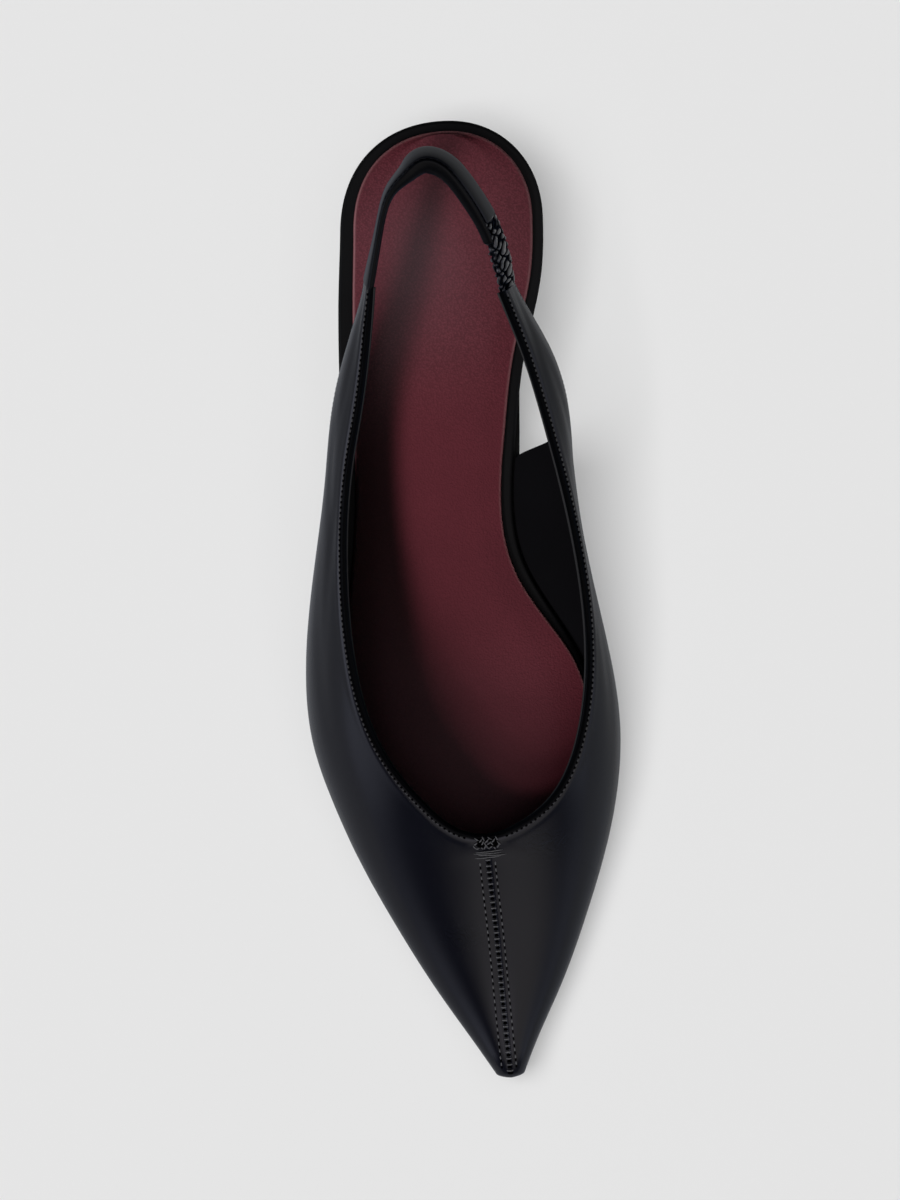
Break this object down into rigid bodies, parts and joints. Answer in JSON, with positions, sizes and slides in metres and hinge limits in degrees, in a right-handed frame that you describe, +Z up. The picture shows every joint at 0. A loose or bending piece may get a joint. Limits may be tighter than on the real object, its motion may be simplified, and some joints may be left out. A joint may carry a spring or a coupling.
{
  "type": "slingback pump",
  "caption": "Right-foot slingback pump with a pointed toe, a low flared heel, a padded heel strap with a gathered elastic and a cushioned sock.",
  "frame": {"origin": "middle of the length and width, on the floor", "axes": "+Z up, the toe points towards -Y, the arch side of the foot is towards +X"},
  "size_m": [0.0858, 0.2634, 0.0847],
  "materials": {
    "upper_leather": "smooth black leather, satin",
    "strap_leather": "smooth black leather, satin",
    "gathered_leather": "gathered black leather over elastic",
    "board_leather": "black lining leather, matte",
    "sock_leather": "padded burgundy leather, fine grain",
    "sole_leather": "black sole leather, satin",
    "heel_leather": "leather covered, satin",
    "top_piece_rubber": "matte black rubber"
  },
  "bodies": {
    "root": {"upper": "upper_leather", "sling_strap": "strap_leather", "elastic_gore": "gathered_leather", "insole_board": "board_leather", "sock_lining": "sock_leather", "outsole": "sole_leather", "heel": "heel_leather", "heel_top_piece": "top_piece_rubber"}
  },
  "joints": []
}
